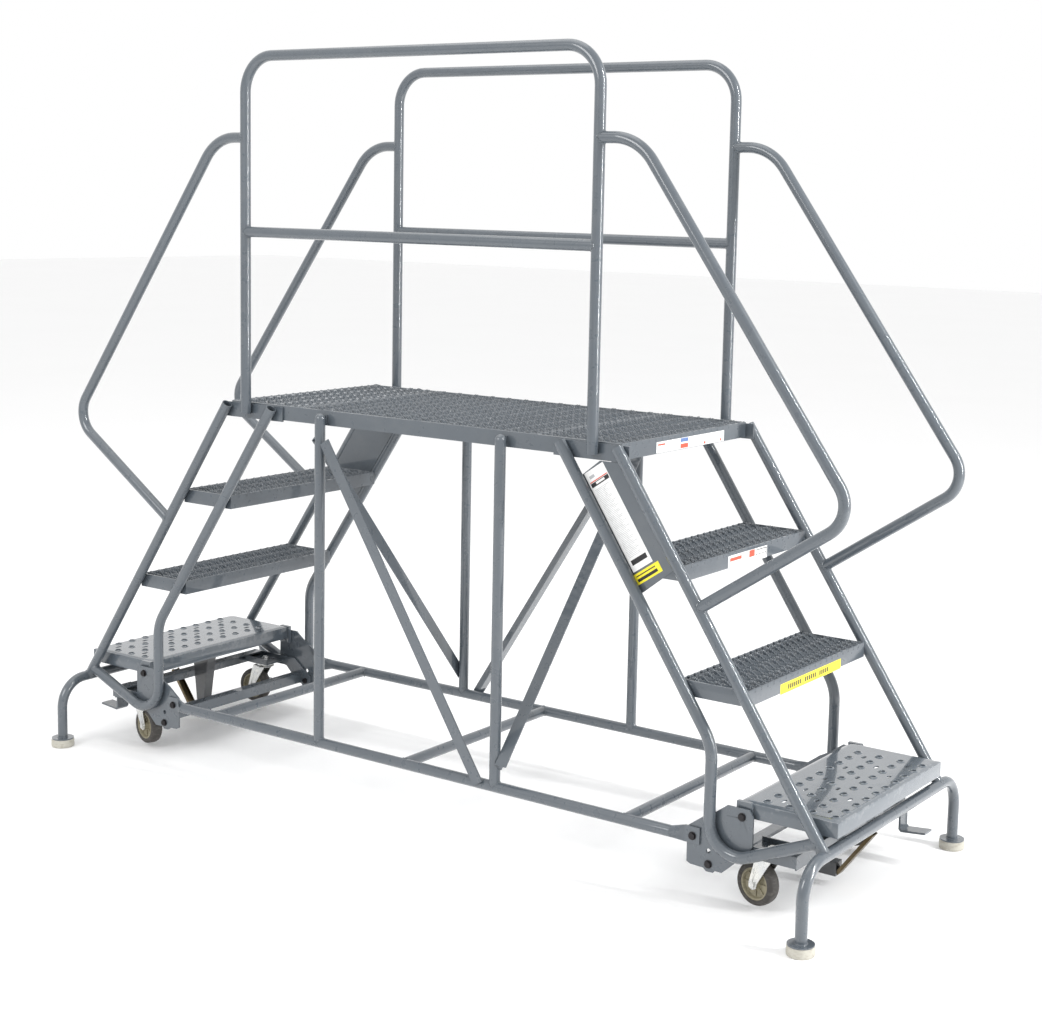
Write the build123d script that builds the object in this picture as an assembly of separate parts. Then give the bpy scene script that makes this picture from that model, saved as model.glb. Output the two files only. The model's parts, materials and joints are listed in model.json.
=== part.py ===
"""Rolling double-entry work platform: two stair units with a deck between them.

Millimetres, +Z up. The origin is on the floor under the middle of the deck.
X runs along the platform from one stair to the other, and Y across it.
The whole object is the same when turned half a turn about Z, so each stair
unit is drawn once, on the +X side ("right"), and turned for the -X side.
"""
import math
import os

from build123d import *

# ---- driving dimensions -------------------------------------------------
TUBE_R = 13.5            # outside radius of all the frame tube
TUBE_WALL = 2.0
SIDE_Y = 300.0           # plane of the tubes down each side
PLATE = 5.0              # gussets, brackets and flattened tube ends
SHEET = 3.0              # deck, treads and lock step

RISE = 254.0             # from one level to the next
DECK_Z = 4 * RISE
DECK_HALF_LENGTH = 610.0
DECK_SEAM_X = 368.0
DECK_SKIRT = 42.0
TREAD_DEPTH = 174.0
TREAD_SKIRT = 40.0

STAIR_RUN = 0.673        # forward travel of a stringer per unit of fall
OUTER_AT_DECK = 600.0    # X of the outer stringer's line at deck height
INNER_AT_DECK = 443.0    # and of the inner one
STRINGER_TOP_Z = 1004.0
INNER_DROP_X = 876.0     # where the inner stringer turns straight down
KNEE_R = 115.0
HEEL_R = 70.0
HEEL_RISE = 0.418        # slope of the inner stringer's last run

POST_X = 541.0
POST_BOTTOM_Z = 984.0
TOP_RAIL_Z = 1890.0
MID_RAIL_Z = 1451.0
HOOP_R = 90.0

HANDRAIL_Z = 1688.0
HANDRAIL_BEND_X = 644.0
HANDRAIL_TIP = (1200.0, 917.0)
HANDRAIL_TOP_R = 125.0
HANDRAIL_TIP_R = 70.0
RETURN_SLOPE = 0.667

FOOT_X = 1160.0
FOOT_Y = 397.0
FOOT_TUBE_Z = 184.0
FOOT_BEND_R = 75.0
PAD_R = 31.0
PAD_HEIGHT = 22.0
WASHER_R = 30.0

PANEL_TOP_Z = 932.0      # where the side panel's ends meet the inner stringer
PANEL_BOTTOM_Z = 681.0
PANEL_END_RISE = 72.0    # climb of the lower end towards the outer stringer
PANEL_EDGE = 7.7         # from a stringer's centre line to the panel, level
PANEL_SHEET = 1.5

RAIL_Z = 155.0
CROSS_TUBE_X = 655.0
UPRIGHT_X = 283.0
UPRIGHT_DOME_Z = 991.5   # centre of the upright's domed end
ANGLE_LEG = 30.0
ANGLE_WALL = 4.0

BOLT_R = 5.0
BOLT_HEAD_R = 9.0
RUNNING_GAP = 0.05       # radial clearance of a pin that turns in its hole
SIDE_GAP = 0.5
RAIL_BOLT = (829.0, 153.0)
SPARE_HOLE = (868.0, 125.0)
SPARE_HOLE_R = 5.5
FRAME_PIVOT = (869.0, 95.0)
STEP_PIVOT = (950.0, 221.0)

STEP_REAR_X = 936.0
STEP_FRONT_X = 1174.0
STEP_HALF_WIDTH = 272.0
STEP_SKIRT = 37.0
STEP_EAR_Y = 280.0       # outside face of the step's hinge ears
BUTTON_ROWS = 4
BUTTON_COLUMNS = 10
BUTTON_X = 990.0         # first row of buttons, counted forward
BUTTON_PITCH_X = 55.0
BUTTON_Y = -246.0        # first column, counted towards +Y
BUTTON_PITCH_Y = 50.0
BUTTON_R = 9.5
BUTTON_HEIGHT = 2.5
HOLE_R = 6.0
SLOT_LENGTH = 22.0
SLOT_WIDTH = 5.0

KING_X = 1005.0
KING_Y = 244.0
KING_R = 6.0
CASTER_TOP_Z = 141.0
TRAIL = 36.0
WHEEL_R = 50.8
WHEEL_WIDTH = 31.0
HUB_R = 37.0
AXLE_Z = 62.0
AXLE_R = 5.0
FORK_GAP = 36.0
FORK_SHEET = 3.0
SWIVEL_AT_REST = {"right_near": 170, "right_far": 195, "left_near": -12, "left_far": 185}

NEAR, FAR = -1, 1

# the clear inside faces that the plates are welded against
TUBE_INNER_Y = SIDE_Y - TUBE_R
PLATE_INNER_Y = TUBE_INNER_Y - PLATE


# ---- shared shapes ------------------------------------------------------
def outer_line(z):
    """X of the outer stringer's centre line at a height."""
    return OUTER_AT_DECK + (DECK_Z - z) * STAIR_RUN


def inner_line(z):
    """X of the sloping part of the inner stringer at a height."""
    return INNER_AT_DECK + (DECK_Z - z) * STAIR_RUN


def bent_path(points, radii):
    """Straight runs joined by tangent arcs, one radius for each inner point."""
    points = [Vector(*point) for point in points]
    edges = []
    start = points[0]
    for before, corner, after, radius in zip(points, points[1:], points[2:], radii):
        into = (corner - before).normalized()
        out = (after - corner).normalized()
        setback = radius * math.tan(math.radians(into.get_angle(out)) / 2)
        arc_start = corner - into * setback
        arc_end = corner + out * setback
        edges.append(Line(start, arc_start))
        edges.append(TangentArc(arc_start, arc_end, tangent=into))
        start = arc_end
    edges.append(Line(start, points[-1]))
    return Wire([edge.edge() for edge in edges])


def swept(path, section):
    """A section swept along a path from its start."""
    plane = Plane(origin=path @ 0, z_dir=path % 0)
    return sweep(plane * section, path=path)


def tube(points, radii=(), radius=TUBE_R):
    """Hollow round tube through the given points."""
    return swept(bent_path(points, radii), Circle(radius) - Circle(radius - TUBE_WALL))


def rod(points, radii=(), radius=TUBE_R):
    """Solid round bar through the given points."""
    return swept(bent_path(points, radii), Circle(radius))


def box_between(corner, opposite):
    """Box from one corner to the opposite one."""
    centre = [(a + b) / 2 for a, b in zip(corner, opposite)]
    return Pos(*centre) * Box(*[abs(b - a) for a, b in zip(corner, opposite)])


def side_plate(outline, inner_y, thickness, holes=()):
    """Plate lying along the near side, with round holes given as (x, z, radius)."""
    plane = Plane(origin=(0, -inner_y, 0), x_dir=(1, 0, 0), z_dir=(0, -1, 0))
    face = Polygon(*outline, align=None)
    for x, z, radius in holes:
        face -= Pos(x, z) * Circle(radius)
    return extrude(plane * face, amount=thickness, dir=(0, -1, 0))


def pin_y(x, z, y_from, y_to, radius):
    """Round pin along Y between two places."""
    plane = Plane(origin=(x, y_from, z), z_dir=(0, math.copysign(1, y_to - y_from), 0))
    return extrude(plane * Circle(radius), amount=abs(y_to - y_from))


def hex_y(x, z, y_from, y_to, radius):
    """Hexagon head or nut along Y between two places."""
    plane = Plane(origin=(x, y_from, z), z_dir=(0, math.copysign(1, y_to - y_from), 0))
    return extrude(plane * RegularPolygon(radius, 6), amount=abs(y_to - y_from))


def far_copy(shape):
    """The same piece on the far side."""
    return mirror(shape, about=Plane.XZ)


def turned(shape):
    """The same piece on the other stair unit."""
    return shape.rotate(Axis.Z, 180)


def largest(shape):
    """The main solid of a cut, without the slivers that coping leaves."""
    return shape.solids().sort_by(SortBy.VOLUME)[-1]


def group(*shapes):
    """Separate solids kept together in one node."""
    return Compound(children=[solid for shape in shapes for solid in shape.solids()])


def each_corner(shape):
    """A near piece of the right unit, at all four corners."""
    pair = [shape, far_copy(shape)]
    return group(*pair, *[turned(piece) for piece in pair])


# ---- stair unit frame, drawn at +X and -Y --------------------------------
OUTER_POINTS = [(outer_line(STRINGER_TOP_Z), -SIDE_Y, STRINGER_TOP_Z),
                (outer_line(FOOT_TUBE_Z), -SIDE_Y, FOOT_TUBE_Z)]
KNEE_Z = DECK_Z - (INNER_DROP_X - INNER_AT_DECK) / STAIR_RUN
INNER_END_X = outer_line(209.0)
HEEL_Z = 209.0 - (INNER_END_X - INNER_DROP_X) * HEEL_RISE
INNER_POINTS = [(inner_line(STRINGER_TOP_Z), -SIDE_Y, STRINGER_TOP_Z),
                (INNER_DROP_X, -SIDE_Y, KNEE_Z),
                (INNER_DROP_X, -SIDE_Y, HEEL_Z),
                (INNER_END_X, -SIDE_Y, 209.0)]
FOOT_POINTS = [(FOOT_X, -FOOT_Y, PAD_HEIGHT + SHEET),
               (FOOT_X, -FOOT_Y, FOOT_TUBE_Z),
               (FOOT_X, FOOT_Y, FOOT_TUBE_Z),
               (FOOT_X, FOOT_Y, PAD_HEIGHT + SHEET)]


def outer_stringer():
    """Straight tube from the deck's corner to the foot tube."""
    return tube(OUTER_POINTS) - rod(FOOT_POINTS, (FOOT_BEND_R, FOOT_BEND_R))


def inner_stringer():
    """Tube that slopes, drops straight down, then curls forward to the outer one."""
    piece = tube(INNER_POINTS, (KNEE_R, HEEL_R)) - rod(OUTER_POINTS)
    return piece - rod(FOOT_POINTS, (FOOT_BEND_R, FOOT_BEND_R))


def foot_tube():
    """Tube across the unit whose ends turn down as the two legs."""
    return tube(FOOT_POINTS, (FOOT_BEND_R, FOOT_BEND_R))


def foot_washer():
    """Round plate welded under a leg."""
    return Pos(FOOT_X, -FOOT_Y, PAD_HEIGHT + SHEET / 2) * Cylinder(WASHER_R, SHEET)


def foot_pad():
    """Round rubber pad with eased edges."""
    pad = Pos(FOOT_X, -FOOT_Y, PAD_HEIGHT / 2) * Cylinder(PAD_R, PAD_HEIGHT)
    return chamfer(pad.edges().filter_by(GeomType.CIRCLE), 1.5)


def gusset():
    """Plate inside the curl of the inner stringer, which carries both pivots."""
    outline = [(812, 90), (822, 85), (903, 82), (945, 120), (978, 157), (978, 224),
               (968, 240), (912, 240), (880, 216), (850, 200), (812, 172)]
    holes = [(*RAIL_BOLT, BOLT_R), (*SPARE_HOLE, SPARE_HOLE_R),
             (*FRAME_PIVOT, BOLT_R), (*STEP_PIVOT, BOLT_R)]
    return side_plate(outline, PLATE_INNER_Y, PLATE, holes)


def corner_bracket():
    """Flat bar along the deck's side that joins the stringers and the post to it."""
    low = (425, -TUBE_INNER_Y, DECK_Z - 46)
    high = (632, -PLATE_INNER_Y, DECK_Z - 8)
    return box_between(low, high)


def handrail():
    """Tube from the guard post down the stair and back to the outer stringer."""
    tip_x, tip_z = HANDRAIL_TIP
    back_z = 671.0
    back_x = tip_x - (tip_z - back_z) / RETURN_SLOPE
    points = [(POST_X, -SIDE_Y, HANDRAIL_Z),
              (HANDRAIL_BEND_X, -SIDE_Y, HANDRAIL_Z),
              (tip_x, -SIDE_Y, tip_z),
              (back_x, -SIDE_Y, back_z)]
    piece = tube(points, (HANDRAIL_TOP_R, HANDRAIL_TIP_R))
    piece -= rod([(POST_X, -SIDE_Y, MID_RAIL_Z), (POST_X, -SIDE_Y, TOP_RAIL_Z)])
    return largest(piece - rod(OUTER_POINTS))


def side_panel():
    """Sheet let in between the stringers from the deck down, its ends square to them."""
    top = DECK_Z - 47
    outline = [(inner_line(PANEL_TOP_Z) + PANEL_EDGE, PANEL_TOP_Z),
               (inner_line(PANEL_TOP_Z) + (top - PANEL_TOP_Z) / STAIR_RUN, top),
               (outer_line(top) - PANEL_EDGE, top),
               (outer_line(PANEL_BOTTOM_Z + PANEL_END_RISE) - PANEL_EDGE, PANEL_BOTTOM_Z + PANEL_END_RISE),
               (inner_line(PANEL_BOTTOM_Z) + PANEL_EDGE, PANEL_BOTTOM_Z)]
    return side_plate(outline, TUBE_INNER_Y, PANEL_SHEET)


# ---- treads and deck ------------------------------------------------------
def pan(x_from, x_to, half_width, top_z, skirt, sheet=SHEET):
    """Folded sheet with a skirt all round, open underneath."""
    outside = box_between((x_from, -half_width, top_z - skirt), (x_to, half_width, top_z))
    inside = box_between((x_from + sheet, -half_width + sheet, top_z - skirt),
                         (x_to - sheet, half_width - sheet, top_z - sheet))
    return outside - inside


def grip_holes(x_from, x_to, half_width, top_z, rows, columns, margin=12.0):
    """Rows of diamond-shaped openings right through a sheet."""
    pitch_x = (x_to - x_from - 2 * margin) / rows
    pitch_y = 2 * (half_width - margin) / columns
    diamond = Polygon((0, -pitch_y * 0.42), (pitch_x * 0.3, 0), (0, pitch_y * 0.42),
                      (-pitch_x * 0.3, 0), align=None)
    places = GridLocations(pitch_x, pitch_y, rows, columns)
    middle = Pos((x_from + x_to) / 2, 0, top_z - 2 * SHEET)
    return extrude(middle * Sketch(children=[place * diamond for place in places]),
                   amount=3 * SHEET)


def tread(level):
    """Serrated stair tread between the stringers."""
    top_z = level * RISE
    front = outer_line(top_z) + TUBE_R
    rear = front - TREAD_DEPTH
    plain = pan(rear, front, TUBE_INNER_Y, top_z, TREAD_SKIRT)
    return plain - grip_holes(rear, front, TUBE_INNER_Y, top_z, 3, 12)


def deck_section(x_from, x_to, rows):
    """One of the three gratings that make the deck."""
    plain = pan(x_from, x_to, PLATE_INNER_Y, DECK_Z, DECK_SKIRT)
    return plain - grip_holes(x_from, x_to, PLATE_INNER_Y, DECK_Z, rows, 12)


# ---- guard rails, seen from the near side ---------------------------------
def guard_hoop():
    """One bent tube: two posts and the top rail."""
    points = [(-POST_X, -SIDE_Y, POST_BOTTOM_Z), (-POST_X, -SIDE_Y, TOP_RAIL_Z),
              (POST_X, -SIDE_Y, TOP_RAIL_Z), (POST_X, -SIDE_Y, POST_BOTTOM_Z)]
    return tube(points, (HOOP_R, HOOP_R))


def mid_rail():
    """Straight tube between the posts."""
    ends = [(-POST_X, -SIDE_Y, MID_RAIL_Z), (POST_X, -SIDE_Y, MID_RAIL_Z)]
    piece = tube(ends)
    for x in (-POST_X, POST_X):
        piece -= rod([(x, -SIDE_Y, POST_BOTTOM_Z), (x, -SIDE_Y, TOP_RAIL_Z)])
    return piece


# ---- base under the deck --------------------------------------------------
def flattened_end(plane, flat_offset, taper=30.0, flat=38.0, width=38.0):
    """Tube end squeezed to a flat tab; the plane's x points to the flat's side."""
    round_face = plane * Circle(TUBE_R)
    neck = plane.offset(taper) * (Pos(flat_offset, 0) * Rectangle(PLATE, width))
    tab = extrude(neck, amount=flat)
    return loft([round_face.face(), neck.face()]) + tab


def base_rail():
    """Long tube along the bottom, with flattened ends bolted to the gussets."""
    end_x = RAIL_BOLT[0] - 50
    offset = SIDE_Y - TUBE_INNER_Y - PLATE / 2
    piece = tube([(-end_x, -SIDE_Y, RAIL_Z), (end_x, -SIDE_Y, RAIL_Z)])
    for side in (-1, 1):
        plane = Plane(origin=(side * end_x, -SIDE_Y, RAIL_Z), x_dir=(0, 1, 0), z_dir=(side, 0, 0))
        piece += flattened_end(plane, offset)
        piece -= pin_y(side * RAIL_BOLT[0], RAIL_BOLT[1], -SIDE_Y, -PLATE_INNER_Y, BOLT_R)
    return piece


def cross_tube(x):
    """Tube from one base rail to the other."""
    piece = tube([(x, -SIDE_Y, RAIL_Z), (x, SIDE_Y, RAIL_Z)])
    for y in (-SIDE_Y, SIDE_Y):
        piece -= rod([(x - 40, y, RAIL_Z), (x + 40, y, RAIL_Z)])
    return piece


def upright():
    """Tube from a base rail to its domed end, which a tab joins to the deck's side."""
    dome = Pos(UPRIGHT_X, -SIDE_Y, UPRIGHT_DOME_Z)
    piece = tube([(UPRIGHT_X, -SIDE_Y, RAIL_Z), (UPRIGHT_X, -SIDE_Y, UPRIGHT_DOME_Z)])
    cap = dome * (Sphere(TUBE_R) - Sphere(TUBE_R - TUBE_WALL))
    piece += cap & dome * Pos(0, 0, TUBE_R / 2) * Box(2 * TUBE_R, 2 * TUBE_R, TUBE_R)
    piece += box_between((UPRIGHT_X - 9, -TUBE_INNER_Y - TUBE_WALL, DECK_Z - DECK_SKIRT + 2),
                         (UPRIGHT_X + 9, -PLATE_INNER_Y, DECK_Z - 16))
    return piece - rod([(UPRIGHT_X - 40, -SIDE_Y, RAIL_Z), (UPRIGHT_X + 40, -SIDE_Y, RAIL_Z)])


def angle_bar(start, end, face_dir, leg_side):
    """Angle iron lying flat on two tubes; its other leg stands out (1) or in (-1)."""
    along = Vector(*end) - Vector(*start)
    plane = Plane(origin=start, x_dir=face_dir, z_dir=along)
    leg, wall = ANGLE_LEG, ANGLE_WALL
    section = Pos(wall / 2, 0) * Rectangle(wall, leg)
    section += Pos(leg_side * leg / 2 + wall / 2, leg / 2 - wall / 2) * Rectangle(leg, wall)
    return extrude(plane * section, amount=along.length)


def long_brace():
    """Angle along the near side, from one upright's top to the other's foot."""
    back_y = SIDE_Y + TUBE_R
    start = (-UPRIGHT_X + 29, -back_y, DECK_Z - 78)
    end = (UPRIGHT_X - 38, -back_y, RAIL_Z + 3)
    bar = angle_bar(start, end, (0, -1, 0), -1)
    bar -= box_between((-UPRIGHT_X - 60, -back_y, 0), (-UPRIGHT_X + 24, 0, DECK_Z))
    return bar - box_between((0, -back_y, 0), (UPRIGHT_X, 0, RAIL_Z + TUBE_R + 12))


def cross_brace():
    """Angle from the far upright's top, where one leg is cut back, to the near one's foot."""
    back_x = UPRIGHT_X + TUBE_R
    start = (back_x, SIDE_Y, DECK_Z - 70)
    end = (back_x, -SIDE_Y - 8, RAIL_Z + 52)
    bar = angle_bar(start, end, (1, 0, 0), 1)
    return bar - box_between((back_x + ANGLE_WALL, SIDE_Y - 40, RAIL_Z), (back_x + 60, SIDE_Y + 60, DECK_Z))


# ---- fasteners, at the right unit's near gusset ---------------------------
def through_bolt(x, z, head_face, nut_face):
    """Bolt along Y with its head outside and its nut inside."""
    shank = pin_y(x, z, -head_face, -nut_face, BOLT_R)
    head = hex_y(x, z, -head_face - 6, -head_face, BOLT_HEAD_R)
    nut = hex_y(x, z, -nut_face, -nut_face + 7, BOLT_HEAD_R)
    return shank + head + nut


# ---- lock step -------------------------------------------------------------
def button_places():
    """Places of the lock step's raised buttons, in a square pattern."""
    return [(BUTTON_X + row * BUTTON_PITCH_X, BUTTON_Y + column * BUTTON_PITCH_Y)
            for row in range(BUTTON_ROWS) for column in range(BUTTON_COLUMNS)]


def slot_places():
    """Places of its slots, in every second square between the buttons."""
    return [(BUTTON_X + (row + 0.5) * BUTTON_PITCH_X, BUTTON_Y + (column + 0.5) * BUTTON_PITCH_Y)
            for row in range(BUTTON_ROWS - 1) for column in range(BUTTON_COLUMNS - 1)
            if (row + column) % 2 == 0]


def lock_step():
    """Perforated pan with hinge ears at its rear corners."""
    top_z = RISE
    step = pan(STEP_REAR_X, STEP_FRONT_X, STEP_HALF_WIDTH, top_z, STEP_SKIRT)
    for x, y in button_places():
        step += Pos(x, y, top_z) * Cone(BUTTON_R, HOLE_R + 1, BUTTON_HEIGHT,
                                        align=(Align.CENTER, Align.CENTER, Align.MIN))
        step -= Pos(x, y, top_z) * Cylinder(HOLE_R, 4 * SHEET)
    for x, y in slot_places():
        step -= Pos(x, y, top_z) * Box(SLOT_WIDTH, SLOT_LENGTH, 4 * SHEET)
    pivot_x, pivot_z = STEP_PIVOT
    ear = [(930, 203), (966, 203), (972, top_z - 4), (966, top_z + 9), (930, top_z + 9)]
    near_ear = side_plate(ear, STEP_HALF_WIDTH - SHEET, STEP_EAR_Y - STEP_HALF_WIDTH + SHEET)
    step += near_ear + far_copy(near_ear)
    bore = pin_y(pivot_x, pivot_z, -SIDE_Y, SIDE_Y, BOLT_R + RUNNING_GAP)
    return step - bore


def lock_leg():
    """Tapered folded plate under the middle of the lock step, with its toe block."""
    top, bottom = RISE - SHEET, 56
    web = side_plate([(972, top), (1046, top), (1024, bottom), (1003, bottom)], -16, 4)
    flange = side_plate([(972, top), (976, top), (1007, bottom), (1003, bottom)], -16, 32)
    toe = box_between((1000, -16, 26), (1050, 16, 58))
    hollow = box_between((1004, -12, 26), (1046, 12, 54))
    return web + flange + (toe - hollow)


def latch_strap():
    """Narrow channel that leans forward from the toe block, free at its top."""
    plane = Plane(origin=(1050, 0, 32), x_dir=(0, 1, 0), z_dir=(0.6, 0, 0.8))
    section = Rectangle(24, 9) - Pos(0, 2) * Rectangle(19, 9)
    strap = extrude(plane * section, amount=140)
    return strap - box_between((900, -50, 0), (1050, 50, 200))


# ---- caster frame ----------------------------------------------------------
ARM_Y = PLATE_INNER_Y - SIDE_GAP
FRONT_BAR_X = 1050.0
FRONT_BAR_Z = 126.0


def caster_arm():
    """Side arm from the pivot forward over the caster."""
    outline = [(850, 84), (860, 75), (878, 75), (890, 90), (932, 131), (1084, 131),
               (1084, 158), (915, 158), (850, 110)]
    return side_plate(outline, ARM_Y - PLATE, PLATE, [(*FRAME_PIVOT, BOLT_R + RUNNING_GAP)])


def caster_frame():
    """Two side arms joined by angles, with a shelf over each pair of casters."""
    reach = ARM_Y - PLATE
    frame = caster_arm() + far_copy(caster_arm())
    rear_flat = box_between((884, -reach, 112), (914, reach, 116))
    rear_edge = box_between((884, -reach, 88), (888, reach, 112))
    front_flat = box_between((FRONT_BAR_X, -reach, 154), (1082, reach, 158))
    front_edge = box_between((1078, -reach, FRONT_BAR_Z), (1082, reach, 154))
    frame += rear_flat + rear_edge + front_flat + front_edge
    for side in (NEAR, FAR):
        shelf_top = CASTER_TOP_Z + PLATE
        shelf = box_between((960, side * reach, CASTER_TOP_Z), (1078, side * 205, shelf_top))
        lip = box_between((960, side * 209, shelf_top), (FRONT_BAR_X, side * 205, 158))
        frame += shelf + lip
        frame -= Pos(KING_X, side * KING_Y, CASTER_TOP_Z) * Cylinder(KING_R, 40)
    return frame


def release_pedal():
    """Bent flat bar, welded to the front bar, that a foot presses down."""
    outline = [(1082, 152), (1087, 152), (1100, 132), (1100, 86), (1106, 80), (1168, 86),
               (1168, 91), (1110, 85.5), (1105, 90), (1105, 134), (1090, 157), (1082, 157)]
    return side_plate(outline, -250, 40)


# ---- casters, drawn about their kingpin with the wheel trailing to +X --------
CROWN_TOP_Z = CASTER_TOP_Z - 12 - SIDE_GAP


def king_pin():
    """Caster's fixed top plate with its race and kingpin."""
    plate = box_between((-31, -31, CASTER_TOP_Z - 4), (31, 31, CASTER_TOP_Z))
    race = Pos(0, 0, CASTER_TOP_Z - 8) * Cylinder(24, 8)
    low, high = CROWN_TOP_Z - FORK_SHEET - SIDE_GAP - 3, CASTER_TOP_Z + PLATE + 10
    pin = Pos(0, 0, (low + high) / 2) * Cylinder(KING_R, high - low)
    nut = Pos(0, 0, CASTER_TOP_Z + PLATE) * extrude(RegularPolygon(11, 6), amount=7)
    head = Pos(0, 0, low + 1.5) * Cylinder(10, 3)
    return plate + race + pin + nut + head


def fork():
    """Swivelling fork: a crown under the race and two legs down to the axle."""
    half = FORK_GAP / 2
    top = CROWN_TOP_Z
    piece = Pos(0, 0, top - FORK_SHEET) * extrude(Circle(27), amount=FORK_SHEET)
    piece += box_between((0, -half - FORK_SHEET, top - FORK_SHEET), (30, half + FORK_SHEET, top))
    leg = [(-14, top), (30, top), (TRAIL + 11, AXLE_Z + 4), (TRAIL + 9, AXLE_Z - 8),
           (TRAIL, AXLE_Z - 12), (TRAIL - 9, AXLE_Z - 8), (TRAIL - 12, AXLE_Z + 4)]
    for inner_y in (half, -half - FORK_SHEET):
        piece += side_plate(leg, inner_y, FORK_SHEET)
    piece -= pin_y(TRAIL, AXLE_Z, -40, 40, AXLE_R)
    return piece - Pos(0, 0, top) * Cylinder(KING_R + RUNNING_GAP, 20)


def caster_axle():
    """Axle bolt through the fork, with its head and nut."""
    reach = FORK_GAP / 2 + FORK_SHEET
    shank = pin_y(TRAIL, AXLE_Z, -reach, reach, AXLE_R)
    head = hex_y(TRAIL, AXLE_Z, -reach - 4, -reach, 8)
    return shank + head + hex_y(TRAIL, AXLE_Z, reach, reach + 5, 8)


def wheel_ring(outer_r, inner_r, width):
    """Ring about the axle."""
    plane = Plane(origin=(TRAIL, width / 2, AXLE_Z), z_dir=(0, -1, 0))
    return extrude(plane * (Circle(outer_r) - Circle(inner_r)), amount=width)


def tyre():
    """Solid tyre with rounded shoulders."""
    ring = wheel_ring(WHEEL_R, HUB_R, WHEEL_WIDTH)
    shoulders = ring.edges().filter_by(GeomType.CIRCLE).sort_by(SortBy.RADIUS)[-2:]
    return fillet(shoulders, 6)


def wheel_hub():
    """Moulded hub: a dished disc with a thick boss and rim."""
    hub = wheel_ring(HUB_R, AXLE_R + RUNNING_GAP, FORK_GAP - 6)
    for side in (-1, 1):
        dish = wheel_ring(HUB_R - 5, 13, 9)
        hub -= dish.translate((0, side * (FORK_GAP / 2 - 7), 0))
    boss = wheel_ring(10, AXLE_R + RUNNING_GAP, FORK_GAP - 1)
    return hub + boss


def placed_caster(shape, side, angle):
    """A caster piece moved to its kingpin on the right unit and swivelled."""
    return Pos(KING_X, side * KING_Y, 0) * Rot(0, 0, angle) * shape


# ---- assembly ----------------------------------------------------------------
def frame_nodes():
    """Everything that is welded or bolted together as one frame."""
    nodes = {}
    rail = base_rail()
    hoop = guard_hoop()
    nodes["guard_hoop_near"] = hoop
    nodes["guard_hoop_far"] = far_copy(hoop)
    nodes["mid_rails"] = group(mid_rail(), far_copy(mid_rail()))
    nodes["base_rail_near"] = rail
    nodes["base_rail_far"] = far_copy(rail)
    nodes["cross_tubes"] = group(*[cross_tube(x) for x in (-CROSS_TUBE_X, 0, CROSS_TUBE_X)])
    nodes["uprights"] = each_corner(upright())
    nodes["long_braces"] = group(long_brace(), turned(long_brace()))
    nodes["cross_braces"] = group(cross_brace(), turned(cross_brace()))
    nodes["corner_brackets"] = each_corner(corner_bracket())
    nodes["gussets"] = each_corner(gusset())
    nodes["side_panels"] = group(side_panel(), turned(side_panel()))
    nodes["deck_middle"] = deck_section(-DECK_SEAM_X, DECK_SEAM_X, 12)
    end_deck = deck_section(DECK_SEAM_X, DECK_HALF_LENGTH, 4)
    nodes["deck_ends"] = group(end_deck, turned(end_deck))
    treads = group(tread(2), tread(3))
    nodes["treads_right"] = treads
    nodes["treads_left"] = turned(treads)
    for maker, name in ((outer_stringer, "outer_stringers"), (inner_stringer, "inner_stringers")):
        pair = group(maker(), far_copy(maker()))
        nodes[name + "_right"] = pair
        nodes[name + "_left"] = turned(pair)
    nodes["foot_tube_right"] = foot_tube()
    nodes["foot_tube_left"] = turned(foot_tube())
    nodes["foot_washers"] = each_corner(foot_washer())
    nodes["foot_pads"] = each_corner(foot_pad())
    rail_near = handrail()
    nodes["handrail_right_near"] = rail_near
    nodes["handrail_right_far"] = far_copy(rail_near)
    nodes["handrail_left_far"] = turned(rail_near)
    nodes["handrail_left_near"] = turned(far_copy(rail_near))
    arm_nut_y = ARM_Y - PLATE - SIDE_GAP
    ear_nut_y = STEP_HALF_WIDTH - SHEET - SIDE_GAP
    nodes["rail_bolts"] = each_corner(through_bolt(*RAIL_BOLT, TUBE_INNER_Y + PLATE, PLATE_INNER_Y))
    nodes["frame_pivot_bolts"] = each_corner(through_bolt(*FRAME_PIVOT, TUBE_INNER_Y, arm_nut_y))
    nodes["step_pivot_bolts"] = each_corner(through_bolt(*STEP_PIVOT, TUBE_INNER_Y, ear_nut_y))
    return nodes


def moving_nodes():
    """Lock steps, caster frames and casters."""
    nodes = {}
    movers = {"lock_step": lock_step(), "lock_leg": lock_leg(), "latch_strap": latch_strap(),
              "caster_frame": caster_frame(), "release_pedal": release_pedal()}
    for name, shape in movers.items():
        nodes[name + "_right"] = shape
        nodes[name + "_left"] = turned(shape)
    nodes["lock_step_left"] = mirror(nodes["lock_step_right"], about=Plane.YZ)
    pins = group(*[placed_caster(king_pin(), side, 0) for side in (NEAR, FAR)])
    nodes["king_pins_right"] = pins
    nodes["king_pins_left"] = turned(pins)
    pieces = {"fork": fork(), "axle": caster_axle(), "tyre": tyre(), "hub": wheel_hub()}
    for place, angle in SWIVEL_AT_REST.items():
        unit, side = place.split("_")
        row = NEAR if side == "near" else FAR
        for name, shape in pieces.items():
            if unit == "right":
                nodes[f"{name}_{place}"] = placed_caster(shape, row, angle)
            else:
                nodes[f"{name}_{place}"] = turned(placed_caster(shape, -row, angle - 180))
    return nodes


os.makedirs("parts", exist_ok=True)
for node, solid in {**frame_nodes(), **moving_nodes()}.items():
    export_step(solid, f"parts/{node}.step")
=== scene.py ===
"""Looks of the rolling double-entry work platform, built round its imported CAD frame.

The stand is the same when turned half a turn about Z, so a piece of a stair unit is
drawn for the +X unit ("right") and turned for the -X unit ("left"). Only the lock steps
are mirrored across X instead.
"""
import json
import math

import bmesh
import bpy
from mathutils import Matrix, Vector, noise


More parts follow.
